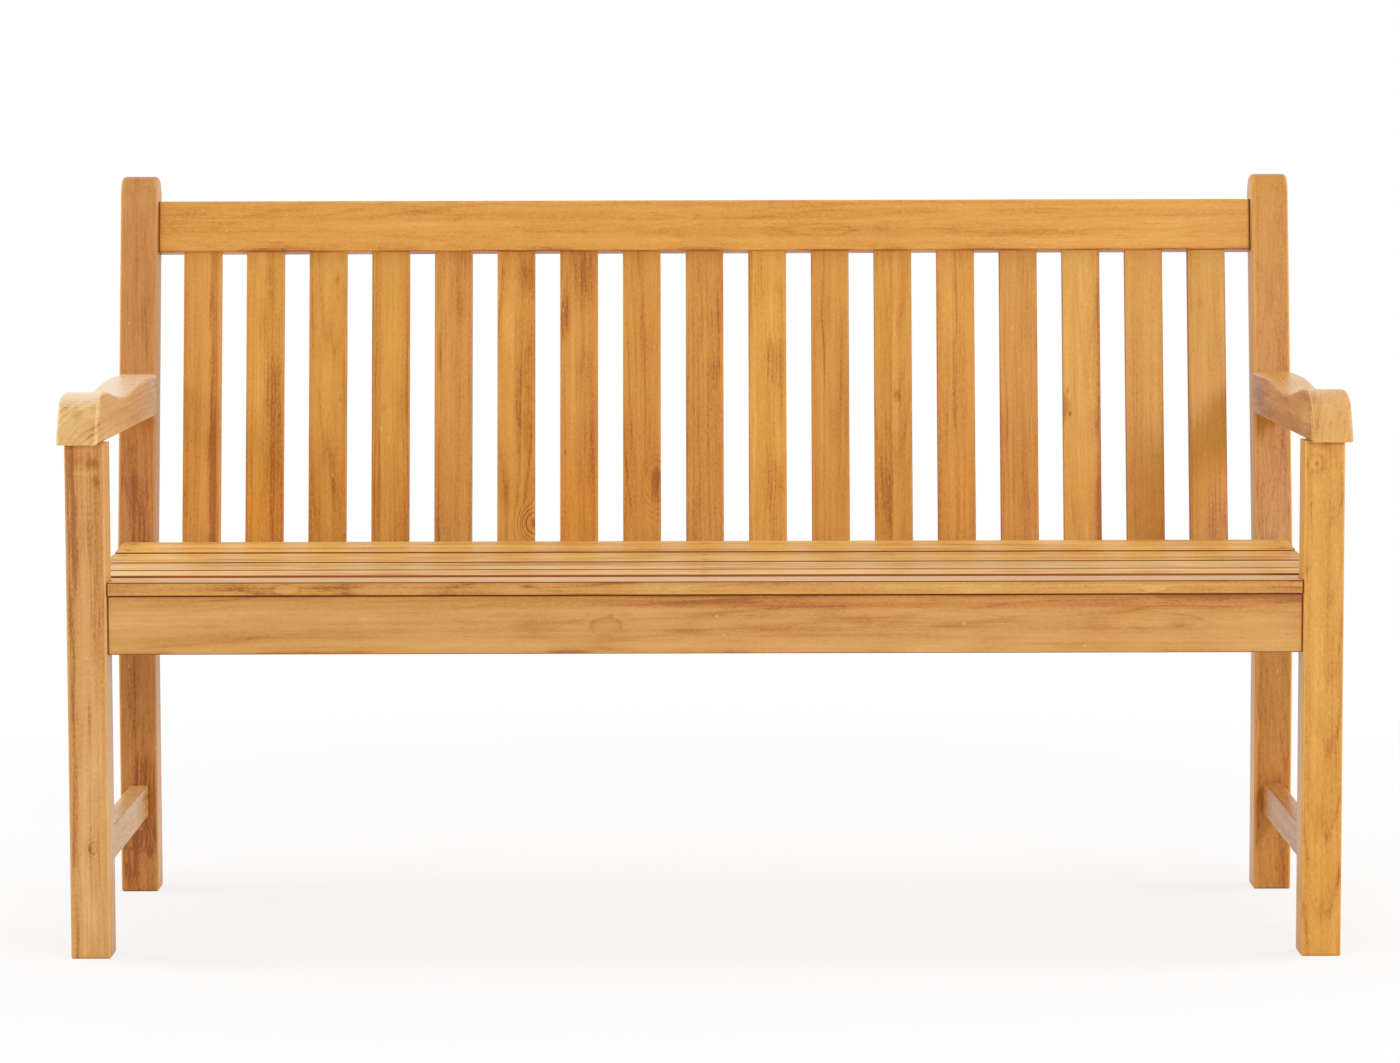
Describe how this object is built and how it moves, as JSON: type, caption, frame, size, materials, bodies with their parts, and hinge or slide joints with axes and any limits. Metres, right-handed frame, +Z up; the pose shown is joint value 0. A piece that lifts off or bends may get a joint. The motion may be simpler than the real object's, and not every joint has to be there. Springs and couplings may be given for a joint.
{
  "type": "garden bench",
  "caption": "Slatted garden bench with a raked back, a dished seat and scrolled arms, for sitting outdoors.",
  "frame": {"origin": "on the floor under the middle of the bench's bounding box", "axes": "+X along the seat to the sitter-facing viewer's right, +Y towards the back, +Z up"},
  "size_m": [1.4998, 0.635, 0.905],
  "materials": {
    "front_leg_left": "oiled teak, satin",
    "front_leg_right": "oiled teak, satin",
    "back_leg_left": "oiled teak, satin",
    "back_leg_right": "oiled teak, satin",
    "arm_left": "oiled teak, satin",
    "arm_right": "oiled teak, satin",
    "front_apron": "oiled teak, satin",
    "rear_seat_rail": "oiled teak, satin",
    "side_rail_left": "oiled teak, satin",
    "side_rail_right": "oiled teak, satin",
    "centre_bearer": "oiled teak, satin",
    "stretcher_left": "oiled teak, satin",
    "stretcher_right": "oiled teak, satin",
    "top_rail": "oiled teak, satin",
    "back_slat_01": "oiled teak, satin",
    "back_slat_02": "oiled teak, satin",
    "back_slat_03": "oiled teak, satin",
    "back_slat_04": "oiled teak, satin",
    "back_slat_05": "oiled teak, satin",
    "back_slat_06": "oiled teak, satin",
    "back_slat_07": "oiled teak, satin",
    "back_slat_08": "oiled teak, satin",
    "back_slat_09": "oiled teak, satin",
    "back_slat_10": "oiled teak, satin",
    "back_slat_11": "oiled teak, satin",
    "back_slat_12": "oiled teak, satin",
    "back_slat_13": "oiled teak, satin",
    "back_slat_14": "oiled teak, satin",
    "back_slat_15": "oiled teak, satin",
    "back_slat_16": "oiled teak, satin",
    "back_slat_17": "oiled teak, satin",
    "seat_slat_front": "oiled teak, satin",
    "seat_slat_second": "oiled teak, satin",
    "seat_slat_middle": "oiled teak, satin",
    "seat_slat_fourth": "oiled teak, satin",
    "seat_slat_rear": "oiled teak, satin",
    "joint_pegs": "oiled teak, satin",
    "seat_plugs": "oiled teak, satin",
    "frame_bolts": "stainless, satin",
    "bolt_washers": "stainless, satin",
    "barrel_nuts": "stainless, satin",
    "seat_screws": "stainless, satin"
  },
  "bodies": {
    "root": {"front_leg_left": "front_leg_left", "front_leg_right": "front_leg_right", "back_leg_left": "back_leg_left", "back_leg_right": "back_leg_right", "arm_left": "arm_left", "arm_right": "arm_right", "front_apron": "front_apron", "rear_seat_rail": "rear_seat_rail", "side_rail_left": "side_rail_left", "side_rail_right": "side_rail_right", "centre_bearer": "centre_bearer", "stretcher_left": "stretcher_left", "stretcher_right": "stretcher_right", "top_rail": "top_rail", "back_slat_01": "back_slat_01", "back_slat_02": "back_slat_02", "back_slat_03": "back_slat_03", "back_slat_04": "back_slat_04", "back_slat_05": "back_slat_05", "back_slat_06": "back_slat_06", "back_slat_07": "back_slat_07", "back_slat_08": "back_slat_08", "back_slat_09": "back_slat_09", "back_slat_10": "back_slat_10", "back_slat_11": "back_slat_11", "back_slat_12": "back_slat_12", "back_slat_13": "back_slat_13", "back_slat_14": "back_slat_14", "back_slat_15": "back_slat_15", "back_slat_16": "back_slat_16", "back_slat_17": "back_slat_17", "seat_slat_front": "seat_slat_front", "seat_slat_second": "seat_slat_second", "seat_slat_middle": "seat_slat_middle", "seat_slat_fourth": "seat_slat_fourth", "seat_slat_rear": "seat_slat_rear", "joint_pegs": "joint_pegs", "seat_plugs": "seat_plugs", "frame_bolts": "frame_bolts", "bolt_washers": "bolt_washers", "barrel_nuts": "barrel_nuts", "seat_screws": "seat_screws"}
  },
  "joints": []
}
